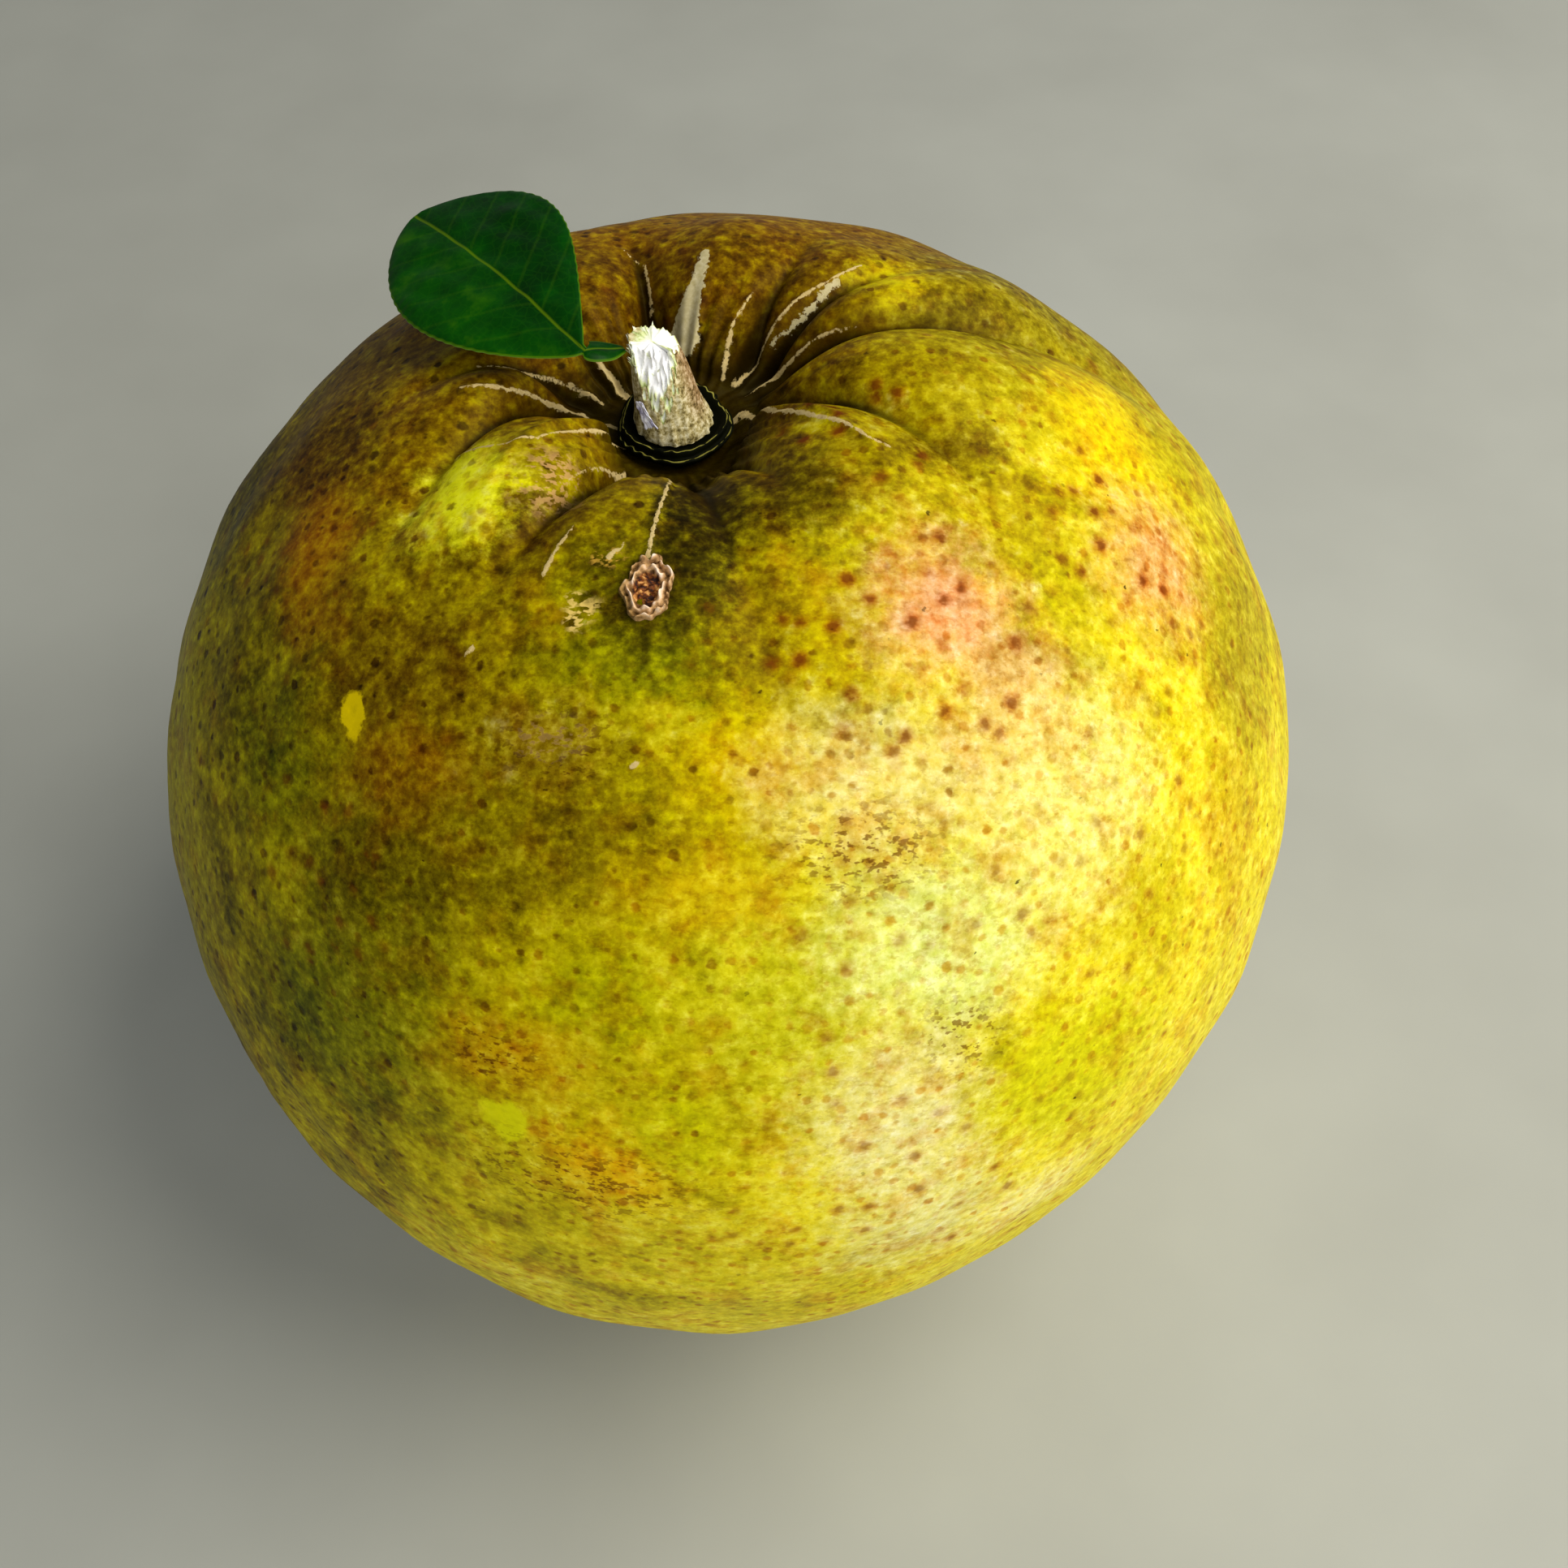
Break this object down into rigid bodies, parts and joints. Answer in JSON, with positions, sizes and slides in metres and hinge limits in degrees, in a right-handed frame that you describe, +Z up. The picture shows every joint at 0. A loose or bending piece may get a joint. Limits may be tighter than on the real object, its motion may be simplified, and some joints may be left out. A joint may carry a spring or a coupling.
{
  "type": "pomelo",
  "caption": "Whole ripe pomelo with a deeply puckered stem end, a calyx, a cut stem stub and a leaf, standing on its base.",
  "frame": {"origin": "middle of the fruit's box in plan, at the surface that the fruit rests on", "axes": "+Z up through the fruit towards its stem end, -Y towards the side that the picture shows, +X to that view's right"},
  "size_m": [0.1496, 0.1488, 0.1483],
  "materials": {
    "rind": "satin, waxy citrus rind with small oil glands",
    "calyx_tissue": "matt, dry green sepals",
    "cut_wood": "matt, torn pale wood with thin grey bark",
    "leaf_blade": "glossy on top, waxy"
  },
  "bodies": {
    "root": {"fruit": "rind", "calyx": "calyx_tissue", "stem": "cut_wood", "leaf": "leaf_blade"}
  },
  "joints": []
}
